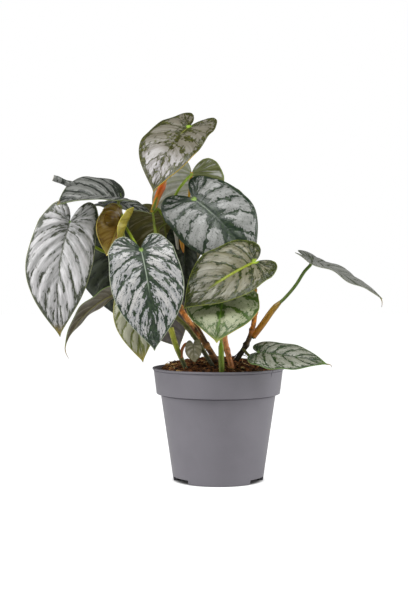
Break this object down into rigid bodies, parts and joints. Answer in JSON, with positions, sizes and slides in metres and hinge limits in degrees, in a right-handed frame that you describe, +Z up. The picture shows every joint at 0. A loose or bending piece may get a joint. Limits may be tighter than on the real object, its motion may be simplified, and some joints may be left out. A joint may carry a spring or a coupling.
{
  "type": "potted silver leaf philodendron",
  "caption": "Climbing aroid house plant with silver and green heart-shaped leaves on arching stalks, standing in the soil of a round grey nursery pot.",
  "frame": {"origin": "centre of the pot's underside, on the plane that it stands on", "axes": "+Z up along the pot's axis, -Y towards the viewer, +X to the viewer's right"},
  "size_m": [0.3178, 0.1813, 0.3373],
  "materials": {
    "pot": "satin",
    "soil": "matte",
    "stem": "satin",
    "shoot": "satin",
    "leaf": "satin",
    "young_leaf": "satin"
  },
  "bodies": {
    "root": {"leaf_back_left": "leaf", "leaf_back_low": "leaf", "leaf_back_middle": "leaf", "leaf_back_right": "leaf", "leaf_back_top": "leaf", "leaf_behind_crown": "leaf", "leaf_crown": "leaf", "leaf_edge_on": "leaf", "leaf_far_right": "leaf", "leaf_front": "leaf", "leaf_front_low": "leaf", "leaf_inner": "leaf", "leaf_left": "leaf", "leaf_low_front": "leaf", "leaf_low_inner": "leaf", "leaf_low_left": "leaf", "leaf_over_rim": "leaf", "leaf_right": "leaf", "leaf_shade_left": "leaf", "leaf_shade_right": "leaf", "leaf_small": "leaf", "leaf_upper_left": "leaf", "leaf_upper_right": "leaf", "leaf_young": "young_leaf", "pot": "pot", "shoot_front": "shoot", "shoot_left": "shoot", "soil": "soil", "stem_back": "stem", "stem_left": "stem", "stem_middle": "stem", "stem_right": "stem"}
  },
  "joints": []
}
